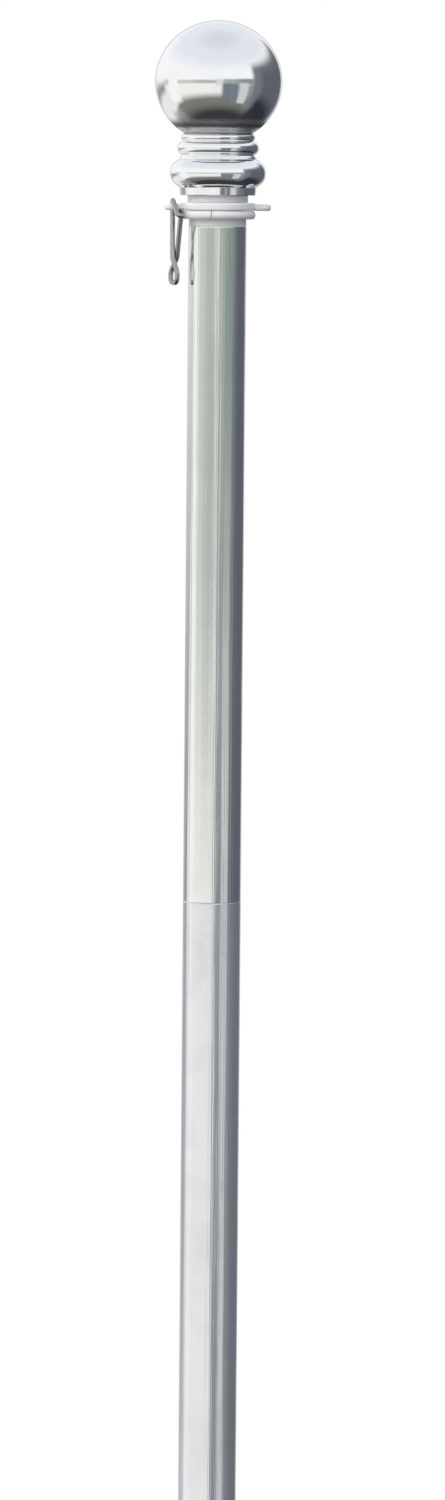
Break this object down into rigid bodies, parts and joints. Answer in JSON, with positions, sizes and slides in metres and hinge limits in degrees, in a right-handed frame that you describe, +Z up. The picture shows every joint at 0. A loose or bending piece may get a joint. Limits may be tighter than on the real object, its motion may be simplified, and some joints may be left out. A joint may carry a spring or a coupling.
{
  "type": "flag pole",
  "caption": "Sectional 1 inch steel flag pole with a chromed ball finial and free-turning plastic flag rings, each carrying a swivelling wire clip, for a bracket or floor socket.",
  "frame": {"origin": "centre of the butt's end face", "axes": "+Z up the pole to the finial, -X to the ear that carries the upper clip, -Y to the front"},
  "size_m": [0.0554, 0.0554, 1.5644],
  "materials": {
    "polished_tube": "polished",
    "satin_tube": "satin",
    "sleeve_steel": "drawn",
    "chrome": "mirror",
    "wire": "polished",
    "zinc_steel": "zinc plated",
    "white_plastic": "moulded, translucent white",
    "grey_plastic": "moulded",
    "black_plastic": "moulded"
  },
  "bodies": {
    "butt": {"butt_cap": "black_plastic", "pole_section_1": "satin_tube", "ferrule_1": "sleeve_steel"},
    "section_2": {"pole_section_2": "satin_tube", "ferrule_2": "sleeve_steel"},
    "section_3": {"pole_section_3": "satin_tube", "ferrule_3": "sleeve_steel"},
    "section_4": {"pole_section_4": "satin_tube", "ferrule_4": "sleeve_steel"},
    "section_5": {"pole_section_5": "polished_tube", "top_bushing": "white_plastic", "bushing_nut": "zinc_steel", "retaining_ring": "white_plastic"},
    "finial": {"finial_shell_left": "chrome", "finial_shell_right": "chrome", "finial_plug": "grey_plastic", "finial_stud": "zinc_steel"},
    "upper_ring": {"upper_flag_ring": "white_plastic"},
    "upper_clip": {"upper_clip": "wire"},
    "lower_stop": {"collar_above": "white_plastic", "collar_below": "white_plastic", "set_screws": "zinc_steel"},
    "lower_ring": {"lower_flag_ring": "white_plastic"},
    "lower_clip": {"lower_clip": "wire"}
  },
  "joints": [
    {"name": "section_2_pull", "type": "slide", "parent": "butt", "child": "section_2", "axis": [0, 0, 1], "range_m": [0, 0.06]},
    {"name": "section_3_pull", "type": "slide", "parent": "section_2", "child": "section_3", "axis": [0, 0, 1], "range_m": [0, 0.06]},
    {"name": "section_4_pull", "type": "slide", "parent": "section_3", "child": "section_4", "axis": [0, 0, 1], "range_m": [0, 0.06]},
    {"name": "section_5_pull", "type": "slide", "parent": "section_4", "child": "section_5", "axis": [0, 0, 1], "range_m": [0, 0.06]},
    {"name": "finial_lift", "type": "slide", "parent": "section_5", "child": "finial", "axis": [0, 0, 1], "range_m": [0, 0.045]},
    {"name": "upper_ring_spin", "type": "hinge", "parent": "section_5", "child": "upper_ring", "pos_m": [0, 0, 1.4835], "axis": [0, 0, 1], "continuous": true},
    {"name": "upper_clip_swivel", "type": "hinge", "parent": "upper_ring", "child": "upper_clip", "pos_m": [-0.0196, 0, 1.4833], "axis": [0, 0, 1], "range_deg": [-190, 0]},
    {"name": "lower_stop_slide", "type": "slide", "parent": "section_2", "child": "lower_stop", "axis": [0, 0, 1], "range_m": [-0.24, 0.005]},
    {"name": "lower_ring_spin", "type": "hinge", "parent": "lower_stop", "child": "lower_ring", "pos_m": [0, 0, 0.5695], "axis": [0, 0, 1], "continuous": true},
    {"name": "lower_clip_swivel", "type": "hinge", "parent": "lower_ring", "child": "lower_clip", "pos_m": [-0.0196, 0, 0.5693], "axis": [0, 0, 1], "range_deg": [-190, 0]}
  ]
}
